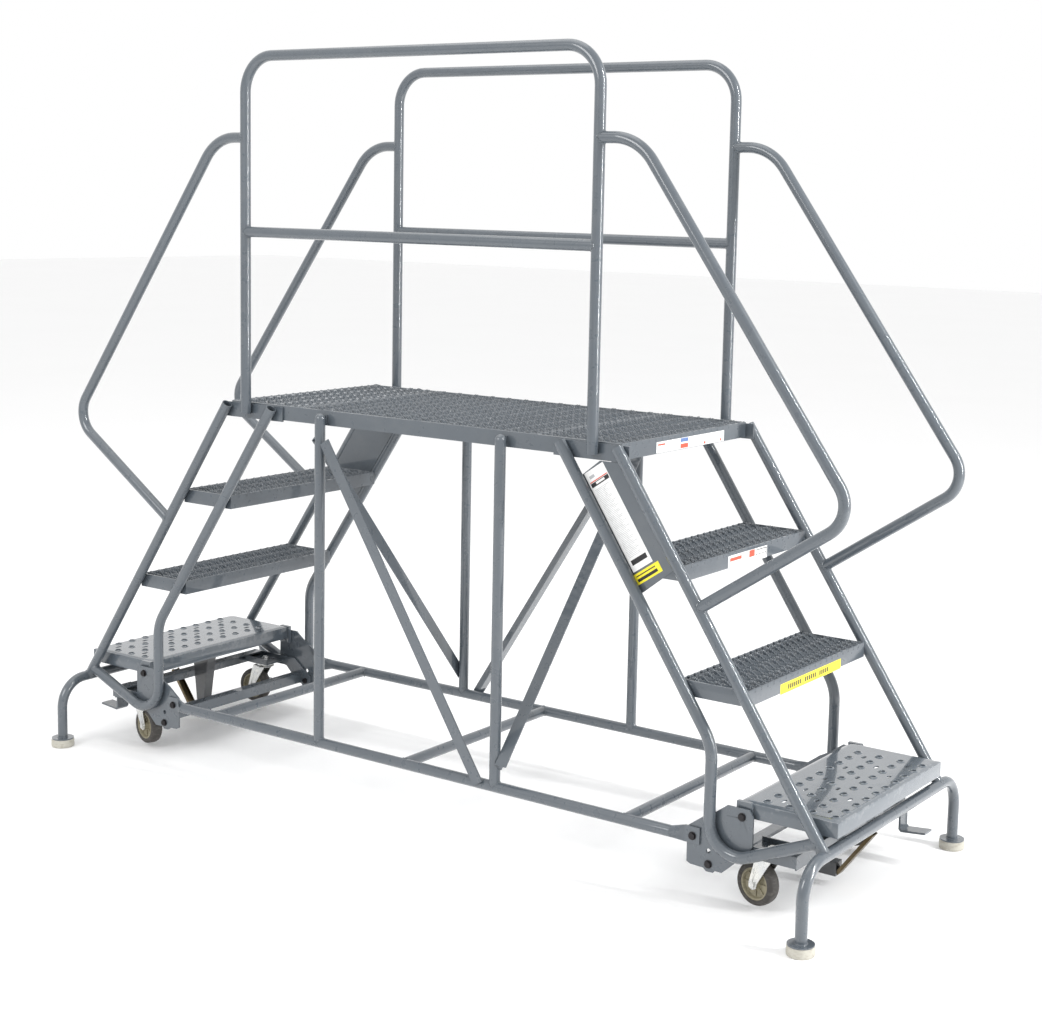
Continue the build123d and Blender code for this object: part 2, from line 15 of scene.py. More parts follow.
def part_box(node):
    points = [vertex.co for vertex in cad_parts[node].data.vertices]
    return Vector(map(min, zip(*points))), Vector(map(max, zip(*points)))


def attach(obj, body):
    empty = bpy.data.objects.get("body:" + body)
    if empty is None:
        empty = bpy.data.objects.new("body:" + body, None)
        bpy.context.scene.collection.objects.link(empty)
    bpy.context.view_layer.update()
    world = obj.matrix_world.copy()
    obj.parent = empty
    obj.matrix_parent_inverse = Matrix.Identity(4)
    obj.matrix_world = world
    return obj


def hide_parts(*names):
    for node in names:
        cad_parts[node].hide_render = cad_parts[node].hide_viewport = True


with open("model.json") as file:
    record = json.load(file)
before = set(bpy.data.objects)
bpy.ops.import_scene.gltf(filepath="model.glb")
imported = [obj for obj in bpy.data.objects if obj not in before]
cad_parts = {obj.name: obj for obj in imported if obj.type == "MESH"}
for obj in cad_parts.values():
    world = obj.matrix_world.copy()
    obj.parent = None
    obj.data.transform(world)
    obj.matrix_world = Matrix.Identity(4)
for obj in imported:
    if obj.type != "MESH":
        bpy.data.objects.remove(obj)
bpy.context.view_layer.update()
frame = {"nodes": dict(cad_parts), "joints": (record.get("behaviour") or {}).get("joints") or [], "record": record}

MM = 0.001
NODES = frame["nodes"]
JOINTS = {joint["name"]: joint for joint in frame["joints"]}
UNITS = ("right", "left")
PLACES = ("right_near", "right_far", "left_near", "left_far")
HALF_TURN = Matrix.Rotation(math.pi, 4, "Z")
FLIP_Y = Matrix.Scale(-1, 4, (0, 1, 0))
FLIP_X = Matrix.Scale(-1, 4, (1, 0, 0))
CORNERS = (Matrix.Identity(4), FLIP_Y, HALF_TURN, HALF_TURN @ FLIP_Y)

# ---- sizes read from the frame ------------------------------------------------
DECK_LOW, DECK_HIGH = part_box("deck_middle")
DECK_Z = DECK_HIGH.z
RISE = DECK_Z / 4
DECK_SKIRT = DECK_HIGH.z - DECK_LOW.z
DECK_END_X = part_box("deck_ends")[1].x
TREAD_LOW, TREAD_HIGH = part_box("treads_right")
TREAD_DEPTH = 174 * MM
TREAD_SKIRT = 40 * MM
STEP_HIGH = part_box("lock_step_right")[1]
HOOP_LOW, HOOP_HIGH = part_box("guard_hoop_near")
TUBE_R = (HOOP_HIGH.y - HOOP_LOW.y) / 2
SIDE_Y = -(HOOP_HIGH.y + HOOP_LOW.y) / 2
POST_X = HOOP_HIGH.x - TUBE_R
FOOT_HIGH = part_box("foot_tube_right")[1]
FOOT_X = FOOT_HIGH.x - TUBE_R
FOOT_Y = FOOT_HIGH.y - TUBE_R
FOOT_TUBE_Z = FOOT_HIGH.z - TUBE_R
CROSS_LOW, CROSS_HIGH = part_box("cross_tubes")
RAIL_Z = (CROSS_HIGH.z + CROSS_LOW.z) / 2
CROSS_X = CROSS_HIGH.x - TUBE_R
UPRIGHT_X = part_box("uprights")[1].x - TUBE_R
MID_RAIL_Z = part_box("mid_rails")[1].z - TUBE_R
HANDRAIL_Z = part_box("handrail_right_near")[1].z - TUBE_R
PANEL_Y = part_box("side_panels")[0].y
STAIR_RUN = 0.673        # how far the stringers run out for each unit they drop
STRINGER_TOP_X = 600 * MM


def outer_line(z):
    """X of the outer stringer's centre line at a height."""
    return STRINGER_TOP_X + (DECK_Z - z) * STAIR_RUN


# ---- material nodes -----------------------------------------------------------
MIX_A, MIX_B, MIX_RESULT = 6, 7, 2   # colour sockets of a Mix node
NOISE_ROUGHNESS = 0.55               # how strong the fine octaves of a noise are


class Finish:
    """A material and short ways to add nodes to it."""

    def __init__(self, name, colour, roughness, metallic=0.0, specular=0.5, coat=0.0,
                 coat_roughness=0.05):
        self.material = bpy.data.materials.new(name)
        self.material.use_nodes = True
        self.tree = self.material.node_tree
        self.shader = self.tree.nodes["Principled BSDF"]
        self.shader.inputs["Base Color"].default_value = (*colour, 1)
        self.shader.inputs["Roughness"].default_value = roughness
        self.shader.inputs["Metallic"].default_value = metallic
        self.shader.inputs["Specular IOR Level"].default_value = specular
        self.shader.inputs["Coat Weight"].default_value = coat
        self.shader.inputs["Coat Roughness"].default_value = coat_roughness
        self.place = self.add("ShaderNodeTexCoord").outputs["Object"]

    def add(self, kind, inputs=None, **settings):
        """A node with its settings, and its inputs as values or as other nodes' outputs."""
        node = self.tree.nodes.new(kind)
        for key, value in settings.items():
            setattr(node, key, value)
        for key, value in (inputs or {}).items():
            if isinstance(value, bpy.types.NodeSocket):
                self.tree.links.new(value, node.inputs[key])
            else:
                node.inputs[key].default_value = value
        return node

    def noise(self, scale, detail=3.0, stretch=None):
        """Noise over the piece, in features per metre."""
        place = self.place
        if stretch:
            place = self.add("ShaderNodeMapping", {"Vector": place, "Scale": stretch}).outputs[0]
        node = self.add("ShaderNodeTexNoise", {"Vector": place, "Scale": scale, "Detail": detail,
                                               "Roughness": NOISE_ROUGHNESS})
        return node.outputs["Fac"]

    def ramp(self, value, low, high, start=0.0, end=1.0):
        """value from low..high to start..end."""
        node = self.add("ShaderNodeMapRange", {"Value": value, "From Min": low, "From Max": high,
                                               "To Min": start, "To Max": end})
        return node.outputs["Result"]

    def mix(self, factor, first, second):
        """A colour between two, by a factor."""
        node = self.add("ShaderNodeMix", {"Factor": factor}, data_type="RGBA")
        for socket, value in ((node.inputs[MIX_A], first), (node.inputs[MIX_B], second)):
            if isinstance(value, bpy.types.NodeSocket):
                self.tree.links.new(value, socket)
            else:
                socket.default_value = (*value, 1)
        return node.outputs[MIX_RESULT]

    def wire(self, socket, value):
        """Drives one of the shader's inputs from an output."""
        self.tree.links.new(value, self.shader.inputs[socket])

    def bump(self, height, strength, distance):
        """Relief over the surface, distance in metres."""
        node = self.add("ShaderNodeBump", {"Height": height, "Strength": strength, "Distance": distance})
        self.wire("Normal", node.outputs["Normal"])


def shade(colour, amount):
    """A colour made lighter or darker."""
    return tuple(min(1.0, channel * amount) for channel in colour)


PAINT = (0.076, 0.0915, 0.108)
DUST = (0.2, 0.205, 0.2)
PRIMER = (0.035, 0.037, 0.04)
STEEL = (0.52, 0.53, 0.54)
LEG_PAINT = (0.05, 0.053, 0.057)
BRIGHT_ZINC = (0.7, 0.72, 0.75)
WARM_ZINC = (0.78, 0.77, 0.72)
BLACK_OXIDE = (0.045, 0.043, 0.045)
YELLOW_ZINC = (0.13, 0.1, 0.055)
YELLOW_TINT = (0.2, 0.16, 0.1)
CREAM, CREAM_DIRT = (0.47, 0.455, 0.4), (0.27, 0.24, 0.19)
TYRE_GREY, TYRE_DIRT = (0.05, 0.046, 0.042), (0.12, 0.11, 0.1)
OLIVE, OLIVE_DIRT = (0.27, 0.245, 0.17), (0.12, 0.105, 0.075)


def enamel(name, colour=PAINT, roughness=0.3, wear=0.0):
    """Gloss enamel: cloudy colour, orange peel, dust, small chips, and wear where asked."""
    finish = Finish(name, colour, roughness, specular=0.5, coat=0.9, coat_roughness=0.03)
    clouds = finish.noise(3.5, 4)
    base = finish.mix(finish.ramp(clouds, 0.3, 0.7), shade(colour, 0.94), shade(colour, 1.06))
    dust = finish.ramp(finish.noise(19, 6), 0.5, 0.85, 0.0, 0.14)
    base = finish.mix(dust, base, DUST)
    chips = finish.ramp(finish.noise(210, 2), 0.775, 0.785)
    base = finish.mix(chips, base, PRIMER)
    if wear:
        worn = finish.add("ShaderNodeAttribute", attribute_name="wear").outputs["Fac"]
        patches = finish.ramp(finish.noise(55, 5), 0.38, 0.62)
        rubbed = finish.add("ShaderNodeMath", {0: worn, 1: patches}, operation="MULTIPLY").outputs[0]
        base = finish.mix(finish.ramp(rubbed, 0.25, 0.9, 0.0, wear), base, STEEL)
    finish.wire("Base Color", base)
    sheen = finish.noise(42, 5)
    finish.wire("Roughness", finish.ramp(sheen, 0.3, 0.7, roughness - 0.07, roughness + 0.1))
    finish.bump(finish.noise(380, 2), 0.05, 0.3 * MM)
    return finish.material


def metal(name, colour, roughness, grain, tint=None, streak=(1, 1, 1)):
    """Plated or oxidised steel with cloudy plating, fine grain and random darker patches of grime."""
    finish = Finish(name, colour, roughness, metallic=1.0)
    clouds = finish.ramp(finish.noise(28, 5), 0.3, 0.7)
    base = finish.mix(clouds, shade(colour, 0.78), tint or shade(colour, 1.12))
    grime = finish.ramp(finish.noise(90, 6), 0.55, 0.75, 0.0, 0.45)
    base = finish.mix(grime, base, shade(colour, 0.4))
    finish.wire("Base Color", base)
    fine = finish.noise(grain, 4, stretch=streak)
    smoothest = max(0.08, roughness - 0.1)
    finish.wire("Roughness", finish.ramp(fine, 0.25, 0.75, smoothest, roughness + 0.14))
    finish.bump(fine, 0.12, 0.25 * MM)
    return finish.material


def rubber(name, colour, stain, roughness, grain=450):
    """Moulded rubber: scuffed, a little dirty, with a fine matt grain."""
    finish = Finish(name, colour, roughness, specular=0.35)
    scuffs = finish.ramp(finish.noise(16, 5), 0.35, 0.7)
    base = finish.mix(scuffs, shade(colour, 1.06), shade(colour, 0.86))
    dirt = finish.ramp(finish.noise(75, 6, stretch=(1, 1, 2.5)), 0.5, 0.72, 0.0, 0.6)
    base = finish.mix(dirt, base, stain)
    finish.wire("Base Color", base)
    sheen = finish.noise(60, 4)
    finish.wire("Roughness", finish.ramp(sheen, 0.3, 0.7, roughness - 0.1, roughness + 0.12))
    finish.bump(finish.noise(grain, 3), 0.28, 0.35 * MM)
    return finish.material


def printed(name, colour):
    """Printed vinyl: slightly uneven ink, faint scratches, half-gloss film."""
    finish = Finish(name, colour, 0.38, specular=0.4)
    ink = finish.ramp(finish.noise(90, 5), 0.4, 0.75)
    finish.wire("Base Color", finish.mix(ink, colour, shade(colour, 0.86)))
    scratches = finish.noise(260, 3, stretch=(1, 6, 1))
    finish.wire("Roughness", finish.ramp(scratches, 0.3, 0.7, 0.3, 0.5))
    finish.bump(finish.noise(180, 2), 0.08, 0.1 * MM)
    return finish.material


MATERIALS = {
    "enamel": enamel("enamel"),
    "grating": enamel("grating_enamel", shade(PAINT, 0.97), roughness=0.32, wear=0.12),
    # The lock steps use the frame paint made 15% lighter: painted reflection, standing in for the bright sheen
    # their glossy tops catch from the white surroundings.
    "step": enamel("step_enamel_painted_reflection", shade(PAINT, 1.15), roughness=0.17, wear=0.3),
    "panel": enamel("panel_enamel", shade(PAINT, 0.94), roughness=0.4),
    "leg": enamel("leg_enamel", LEG_PAINT, roughness=0.38),
    "zinc": metal("bright_zinc", BRIGHT_ZINC, 0.28, grain=300, tint=WARM_ZINC),
    "black": metal("black_oxide", BLACK_OXIDE, 0.42, grain=350),
    "strap": metal("yellow_zinc", YELLOW_ZINC, 0.36, grain=260, tint=YELLOW_TINT, streak=(1, 1, 0.15)),
    "pad": rubber("cream_rubber", CREAM, CREAM_DIRT, 0.62),
    "tyre": rubber("grey_tyre", TYRE_GREY, TYRE_DIRT, 0.55),
    "hub": rubber("olive_hub", OLIVE, OLIVE_DIRT, 0.42, grain=260),
    "white": printed("label_white", (0.83, 0.83, 0.82)),
    "yellow": printed("label_yellow", (0.86, 0.74, 0.04)),
    "red": printed("label_red", (0.62, 0.09, 0.05)),
    "blue": printed("label_blue", (0.12, 0.2, 0.42)),
    "ink": printed("label_black", (0.02, 0.02, 0.022)),
    "grey": printed("label_grey", (0.42, 0.43, 0.44)),
    "pale": printed("label_pale_grey", (0.5, 0.51, 0.52)),
}

# ---- mesh helpers ---------------------------------------------------------------
SMOOTH_ANGLE = math.radians(35)


class Shape:
    """Vertices, faces, face materials and wear that grow piece by piece."""

    def __init__(self):
        self.verts = []
        self.faces = []
        self.wear = []
        self.inks = []

    def points(self, points, wear=0.0):
        """Adds points and gives the index of the first."""
        start = len(self.verts)
        self.verts += [Vector(point) for point in points]
        self.wear += [wear] * len(points) if isinstance(wear, (int, float)) else list(wear)
        return start

    def face(self, *corners, ink=0):
        """Adds a face on points by index; ink is its material's place in the list."""
        self.faces.append(corners)
        self.inks.append(ink)

    def loops(self, rings, closed=False, caps=True, wear=None, ink=0):
        """Rings of equally many points, joined one to the next."""
        count = len(rings[0])
        starts = []
        for k, ring in enumerate(rings):
            starts.append(self.points(ring, 0.0 if wear is None else wear[k]))
        pairs = list(zip(starts, starts[1:]))
        if closed:
            pairs.append((starts[-1], starts[0]))
        for low, high in pairs:
            for i in range(count):
                j = (i + 1) % count
                self.face(low + i, low + j, high + j, high + i, ink=ink)
        if caps and not closed:
            self.face(*[starts[0] + i for i in reversed(range(count))], ink=ink)
            self.face(*[starts[-1] + i for i in range(count)], ink=ink)

    def moved(self, matrix):
        """A copy under a matrix, with faces kept outward."""
        copy = Shape()
        copy.verts = [matrix @ vert for vert in self.verts]
        flip = matrix.determinant() < 0
        copy.faces = [tuple(reversed(face)) if flip else face for face in self.faces]
        copy.wear = list(self.wear)
        copy.inks = list(self.inks)
        return copy

    def join(self, other):
        """Takes in another shape."""
        start = len(self.verts)
        self.verts += other.verts
        self.faces += [tuple(start + i for i in face) for face in other.faces]
        self.wear += other.wear
        self.inks += other.inks
        return self

    def build(self, name, materials, smooth=True):
        """The finished object, with outward normals."""
        mesh = bpy.data.meshes.new(name)
        mesh.from_pydata(self.verts, [], self.faces)
        for material in materials:
            mesh.materials.append(material)
        mesh.polygons.foreach_set("material_index", self.inks)
        mesh.attributes.new("wear", "FLOAT", "POINT").data.foreach_set("value", self.wear)
        work = bmesh.new()
        work.from_mesh(mesh)
        bmesh.ops.recalc_face_normals(work, faces=work.faces)
        work.to_mesh(mesh)
        work.free()
        if smooth:
            mesh.shade_smooth()
            mesh.set_sharp_from_angle(angle=SMOOTH_ANGLE)
        piece = bpy.data.objects.new(name, mesh)
        bpy.context.scene.collection.objects.link(piece)
        return piece


def lathe(profile, segments=48, about=Matrix.Identity(4), closed=True):
    """(radius, height) points in millimetres turned about Z, then placed."""
    shape = Shape()
    rings = []
    turn = [2 * math.pi * i / segments for i in range(segments)]
    for radius, height in profile:
        ring = []
        for a in turn:
            point = Vector((radius * MM * math.cos(a), radius * MM * math.sin(a), height * MM))
            ring.append(about @ point)
        rings.append(ring)
    shape.loops(rings, closed=closed)
    return shape


def slab(corner, opposite, about=Matrix.Identity(4), ink=0):
    """Thin box between two corners."""
    shape = Shape()
    (x0, y0, z0), (x1, y1, z1) = corner, opposite
    rings = [[about @ Vector(p) for p in ((x0, y0, z), (x1, y0, z), (x1, y1, z), (x0, y1, z))]
             for z in (z0, z1)]
    shape.loops(rings, ink=ink)
    return shape


def rounded_rectangle(low, high, z, radius, steps=6):
    """Points round a rectangle with round corners, the same number for any radius."""
    points = []
    corners = ((high[0], high[1], 0), (low[0], high[1], 90),
               (low[0], low[1], 180), (high[0], low[1], 270))
    for x, y, start in corners:
        cx = x - math.copysign(radius, x - (low[0] + high[0]) / 2)
        cy = y - math.copysign(radius, y - (low[1] + high[1]) / 2)
        for i in range(steps + 1):
            angle = math.radians(start + 90 * i / steps)
            points.append((cx + radius * math.cos(angle), cy + radius * math.sin(angle), z))
    return points


def across(direction):
    """Two unit vectors square to a direction."""
    first = direction.orthogonal().normalized()
    return first, direction.cross(first).normalized()


def rope(points, radius, closed=True, sides=8):
    """Round bead through points, its radius a number or one for each point."""
    shape = Shape()
    rings = []
    count = len(points)
    for i, point in enumerate(points):
        after = points[(i + 1) % count] if closed or i + 1 < count else point
        before = points[i - 1] if closed or i else point
        along = (after - before).normalized()
        if i == 0:
            first, second = across(along)
        else:
            first = (first - along * first.dot(along)).normalized()
            second = along.cross(first)
        size = radius[i] if isinstance(radius, list) else radius
        rings.append([point + (first * math.cos(a) + second * math.sin(a)) * size
                      for a in (2 * math.pi * k / sides for k in range(sides))])
    shape.loops(rings, caps=not closed)
    if closed:
        last = len(shape.verts) - sides
        offset = min(range(sides), key=lambda k: (shape.verts[k] - shape.verts[last]).length)
        for k in range(sides):
            j = (k + 1) % sides
            shape.face(last + k, last + j, (j + offset) % sides, (k + offset) % sides)
    return shape


def finish_piece(shape, name, body, materials, replaced=()):
    """Builds a shape, rides it on its body and hides the CAD parts it replaces."""
    piece = shape.build(name, [MATERIALS[key] for key in materials])
    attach(piece, body)
    if replaced:
        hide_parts(*replaced)
    return piece


# ---- materials of the carried-over CAD nodes ---------------------------------------
SLOT_MATERIAL = {"frame_paint": "enamel", "deck_paint": "grating", "rubber_pad": "pad",
                 "bolt_steel": "black", "zinc": "zinc", "tyre": "tyre", "hub": "hub",
                 "dark_steel": "leg", "strap": "strap"}
PLATE_WORK = ("gussets", "corner_brackets", "side_panels", "long_braces", "cross_braces",
              "caster_frame", "release_pedal", "lock_leg", "latch_strap", "fork", "king_pins",
              "foot_washers", "axle")
WELD_DISTANCE = 0.01 * MM
EDGE_WIDTH = 0.7 * MM
EDGE_ANGLE = math.radians(40)


def dress_cad_nodes():
    """Gives each CAD node its finish, and rounds the edges of the plate work."""
    slots = {row["node"]: row["material_slot"] for row in frame["record"]["subparts"]}
    for name, node in NODES.items():
        node.data.materials.clear()
        key = "panel" if name == "side_panels" else SLOT_MATERIAL[slots[name]]
        node.data.materials.append(MATERIALS[key])
        if name.startswith(PLATE_WORK):
            weld = node.modifiers.new("weld", "WELD")
            weld.merge_threshold = WELD_DISTANCE
            bevel = node.modifiers.new("edges", "BEVEL")
            bevel.width = EDGE_WIDTH
            bevel.segments = 2
            bevel.limit_method = "ANGLE"
            bevel.angle_limit = EDGE_ANGLE
            bevel.harden_normals = True


# ---- gratings: deck and treads --------------------------------------------------
DIAMOND_LENGTH = 58 * MM
DIAMOND_WIDTH = 28.4 * MM
MARGIN = 4.6 * MM        # width of the folded rim
STRAND = 2.7 * MM        # half the thickness of a strand
STRAND_DEPTH = 7 * MM
TOOTH = 3.2 * MM
TEETH_PER_SIDE = 4       # along one side of a diamond
HUMP = 6.5 * MM          # how far a row of diamonds bulges up between its nodes
EDGE_HUMP = 0.7          # how high the grating still is where it meets its rim
STRAND_FOOT = 0.6        # width of a strand at its foot, as a share of its full width
STRAND_CREST = 0.45      # and at its crest
SHOULDER = 0.2           # how far up a strand is widest
WOBBLE = 0.5 * MM        # unevenness of the teeth
SMOOTH_WEAR = 0.25       # wear between the teeth
GRATING_INSET = 0.4 * MM
RIM_DROP = 4 * MM
RIM_SHEET = 2.4 * MM
RIM_BEND = 2.6 * MM
RIM_LIP = 8 * MM
LIP_EDGE = 1.5 * MM
RIM_WEAR = (0, 0.1, 0.4, 0.1, 0.0, 0.2, 0, 0, 0, 0, 0, 0)


def ribbon(shape, line, low, high, wear):
    """Upright strand along a line of (x, y), with its own top and bottom heights."""
    rings = []
    for i, (x, y) in enumerate(line):
        x0, y0 = line[max(i - 1, 0)]
        x1, y1 = line[min(i + 1, len(line) - 1)]
        side = Vector((y0 - y1, x1 - x0, 0)).normalized() * STRAND
        foot = Vector((x, y, low[i]))
        crest = Vector((x, y, high[i]))
        shoulder = foot.lerp(crest, SHOULDER)
        rings.append([foot - side * STRAND_FOOT, foot + side * STRAND_FOOT, shoulder + side,
                      crest + side * STRAND_CREST, crest - side * STRAND_CREST, shoulder - side])
    shape.loops(rings, wear=[[0.0, 0.0, 0.0, w, w, 0.0] for w in wear])


def channel(shape, low, high, top, skirt):
    """Folded rim with its skirts, round a grating, as one closed section."""
    sheet, bend = RIM_SHEET, RIM_BEND
    section = [(0, -skirt), (0, -bend), (0.3 * bend, -0.3 * bend), (bend, 0), (MARGIN - LIP_EDGE, 0),
               (MARGIN, -LIP_EDGE), (MARGIN, -RIM_LIP), (MARGIN - sheet, -RIM_LIP),
               (MARGIN - sheet, -sheet - 0.5 * MM), (bend + 0.6 * MM, -sheet),
               (sheet, -bend - sheet), (sheet, -skirt)]
    rings = []
    for inset, drop in section:
        x0, y0, x1, y1 = low[0] + inset, low[1] + inset, high[0] - inset, high[1] - inset
        z = top + drop
        rings.append([(x0, y0, z), (x1, y0, z), (x1, y1, z), (x0, y1, z)])
    shape.loops(rings, closed=True, wear=RIM_WEAR)


def grating(low, high, top, skirt):
    """Plank of serrated diamond grating: strands that bulge up and meet at nodes."""
    shape = Shape()
    channel(shape, low, high, top - RIM_DROP, skirt - RIM_DROP)
    x0 = low[0] + GRATING_INSET
    y0 = low[1] + MARGIN - STRAND
    length = high[0] - low[0] - 2 * GRATING_INSET
    width = high[1] - low[1] - 2 * (MARGIN - STRAND)
    rows = max(1, round(length / DIAMOND_LENGTH))
    columns = max(1, round(width / DIAMOND_WIDTH))
    pitch_x, pitch_y = length / rows, width / columns
    samples = 2 * TEETH_PER_SIDE
    for column in range(columns):
        for way in (1, -1):
            line, bottoms, tops, wear = [], [], [], []
            for i in range(2 * rows * samples + 1):
                phase = i / samples
                zigzag = abs((phase + 1) % 2 - 1)
                start = column + (0 if way > 0 else 1)
                y = y0 + (start + way * zigzag / 2) * pitch_y
                bulge = math.sin(math.pi * phase / 2) ** 2
                if phase < 1 or phase > 2 * rows - 1:
                    bulge = max(bulge, EDGE_HUMP)
                tooth = i % 2
                spot = Vector((x0 * 9 + phase, column * 1.7, way + top * 5))
                wobble = WOBBLE * noise.noise(spot)
                line.append((x0 + phase * pitch_x / 2, y))
                crest = top - WOBBLE - TOOTH - HUMP * (1 - bulge)
                bottoms.append(crest - STRAND_DEPTH)
                tops.append(crest + TOOTH * tooth + wobble)
                wear.append(SMOOTH_WEAR + (1 - SMOOTH_WEAR) * tooth * bulge)
            ribbon(shape, line, bottoms, tops, wear)
    return shape


def make_decks():
    """The middle grating and one at each end of it."""
    middle = grating((DECK_LOW.x, DECK_LOW.y), (DECK_HIGH.x, DECK_HIGH.y), DECK_Z, DECK_SKIRT)
    finish_piece(middle, "deck_grating_middle", "frame", ["grating"], ["deck_middle"])
    end = grating((DECK_HIGH.x, DECK_LOW.y), (DECK_END_X, DECK_HIGH.y), DECK_Z, DECK_SKIRT)
    both = end.moved(HALF_TURN).join(end)
    finish_piece(both, "deck_gratings_end", "frame", ["grating"], ["deck_ends"])


def make_treads():
    """The two serrated treads of each stair unit."""
    both = Shape()
    for level, front in ((2, TREAD_HIGH.x), (3, TREAD_LOW.x + TREAD_DEPTH)):
        low, high = (front - TREAD_DEPTH, TREAD_LOW.y), (front, TREAD_HIGH.y)
        both.join(grating(low, high, level * RISE, TREAD_SKIRT))
    for unit in UNITS:
        shape = both if unit == "right" else both.moved(HALF_TURN)
        finish_piece(shape, "tread_gratings_" + unit, "frame", ["grating"],
                     ["treads_" + unit])


# ---- lock steps -----------------------------------------------------------------
BUTTON_ROWS, BUTTON_COLUMNS = 4, 10
BUTTON_START = (990 * MM, -246 * MM)
BUTTON_PITCH = (55 * MM, 50 * MM)
BUTTON_CREST = 1.5 * MM  # above this a collar is worn
HOLE_R = 6.6             # this and the cutters' other sizes down to CUT_REACH in millimetres
PIN_HOLE_R = 5.05
PIN_HOLE_REACH = 600
CUT_REACH = 8            # how far a hole's cutter goes above and below the top
HOLE_SIDES = 28
PIN_SIDES = 32
CREST_WEAR, SHEET_WEAR = 0.9, 0.2
SLOT_SIZE = (9 * MM, 20 * MM)
STEP_SHEET = 3 * MM
EAR_DEPTH = 8 * MM       # how far the hinge ears stand outside the pan
STEP_HALF_WIDTH = STEP_HIGH.y - EAR_DEPTH
STEP_REAR_X = 936 * MM
STEP_FRONT_X = STEP_HIGH.x
STEP_BOTTOM_Z = RISE - 37 * MM
STEP_PIVOT = Vector(JOINTS["lock_step_right_hinge"]["pos_m"])
PAN_OUTSIDE = (          # inset, drop from the top and corner radius in millimetres, and wear
    (16.0, 0.0, 20.0, 0.1), (9.5, 0.0, 20.0, 0.5), (7.0, -0.6, 18.0, 0.6), (5.0, -1.6, 12.0, 0.2),
    (2.2, -2.2, 4.0, 0.4), (0.7, -2.8, 2.0, 0.8), (0.0, -4.4, 1.5, 0.5))
PAN_INSIDE = (           # inset and corner radius in millimetres, height in metres, and wear
    (0.0, 1.5, STEP_BOTTOM_Z, 0.2), (2.4, 1.0, STEP_BOTTOM_Z, 0.2), (2.4, 1.0, RISE - 7 * MM, 0.0),
    (6.0, 8.0, RISE - 5 * MM, 0.0), (16.0, 14.0, RISE - STEP_SHEET, 0.0))
EAR_OUTLINE = (          # (x, z) in millimetres
    (932, 203), (966, 203), (971, 225), (972, 244), (966, 253.5), (932, 253.5))
BUTTON_PROFILE = (       # (radius, height) in millimetres
    (11.4, -1.2), (11.2, 0.0), (9.8, 0.8), (8.6, 2.0), (7.7, 2.5), (6.9, 2.2), (6.5, 1.2),
    (6.5, -3.4), (7.5, -3.4), (7.5, -1.2))


def step_lattice(rows, columns, shift):
    """Places in the square pattern of the step's top, as (x, y, row, column)."""
    places = []
    for row in range(rows):
        for column in range(columns):
            x = BUTTON_START[0] + (row + shift) * BUTTON_PITCH[0]
            y = BUTTON_START[1] + (column + shift) * BUTTON_PITCH[1]
            places.append((x, y, row, column))
    return places


def capsule(x, y, z0, z1, width, length, steps=6):
    """Closed slot cutter with round ends along Y."""
    shape = Shape()
    half = width / 2
    straight = length / 2 - half
    outline = []
    for end, start in ((1, 0), (-1, math.pi)):
        for i in range(steps + 1):
            angle = start + math.pi * i / steps
            centre_y = y + end * straight
            outline.append((x + half * math.cos(angle), centre_y + half * math.sin(angle)))
    shape.loops([[(px, py, z) for px, py in outline] for z in (z0, z1)])
    return shape


def step_pan():
    """Pressed pan: a raised field with round corners, and folded skirts."""
    levels = [(inset, radius, RISE + drop * MM, wear) for inset, drop, radius, wear in PAN_OUTSIDE]
    levels += PAN_INSIDE
    rings = []
    for inset, radius, z, _ in levels:
        low = (STEP_REAR_X + inset * MM, -STEP_HALF_WIDTH + inset * MM)
        high = (STEP_FRONT_X - inset * MM, STEP_HALF_WIDTH - inset * MM)
        rings.append(rounded_rectangle(low, high, z, radius * MM))
    shape = Shape()
    shape.loops(rings, wear=[wear for _, _, _, wear in levels])
    return shape


def step_ear():
    """Hinge ear at the step's near rear corner, still without its pin hole."""
    shape = Shape()
    inner = -(STEP_HALF_WIDTH - STEP_SHEET)
    outer = -STEP_HIGH.y
    rings = [[(x * MM, y, z * MM) for x, z in EAR_OUTLINE] for y in (inner, outer)]
    shape.loops(rings)
    return shape


def button():
    """Raised collar round one hole, pressed up from the sheet."""
    return lathe(BUTTON_PROFILE, HOLE_SIDES)


def cut(piece, cutter):
    """Takes one shape out of a piece."""
    tool = cutter.build("cutter", [])
    change = piece.modifiers.new("cut", "BOOLEAN")
    change.operation = "DIFFERENCE"
    change.solver = "EXACT"
    change.object = tool
    graph = bpy.context.evaluated_depsgraph_get()
    mesh = bpy.data.meshes.new_from_object(piece.evaluated_get(graph))
    piece.modifiers.remove(change)
    piece.data = mesh
    bpy.data.objects.remove(tool)


